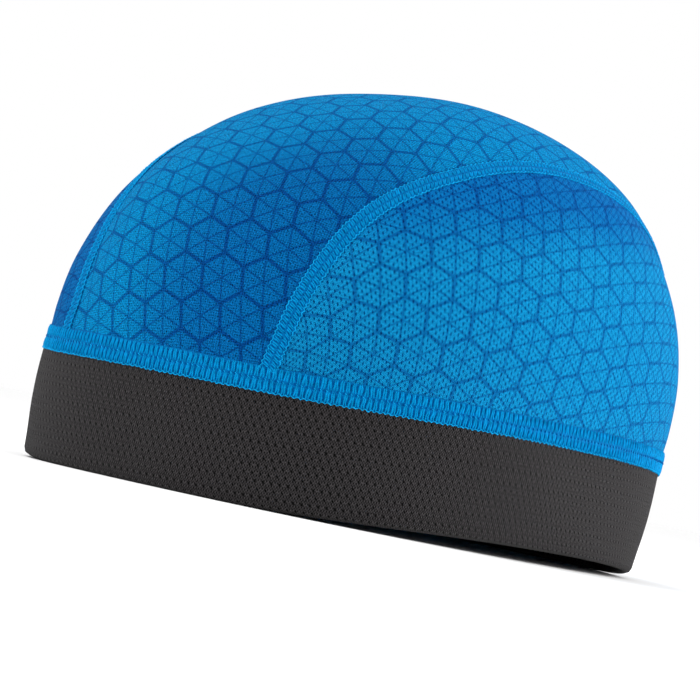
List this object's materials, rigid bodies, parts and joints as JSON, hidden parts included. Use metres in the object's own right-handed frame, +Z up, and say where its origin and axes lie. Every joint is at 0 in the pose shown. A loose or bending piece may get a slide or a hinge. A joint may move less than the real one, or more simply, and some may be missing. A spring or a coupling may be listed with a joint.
{
  "type": "skull cap",
  "caption": "Close-fitting knit skull cap: three-panel mesh crown with flat overlocked seams over a doubled black headband.",
  "frame": {"origin": "centre of the cap's outline on the surface that its rim rests on", "axes": "+Z up through the crown, -Y towards the wearer's face, +X towards the wearer's left"},
  "size_m": [0.1634, 0.2018, 0.1255],
  "materials": {
    "crown_knit": "smooth sports knit, printed in tones of blue with an outline pattern of hexagons, soft sheen",
    "side_mesh": "eyelet mesh knit in the same printed blue",
    "seam_thread": "dense flat seam stitching in bright blue thread",
    "band_mesh": "black eyelet mesh, doubled and folded at the rim"
  },
  "bodies": {
    "root": {"crown_centre_panel": "crown_knit", "crown_left_panel": "side_mesh", "crown_right_panel": "side_mesh", "left_panel_seam": "seam_thread", "right_panel_seam": "seam_thread", "rim_seam": "seam_thread", "headband": "band_mesh"}
  },
  "joints": []
}
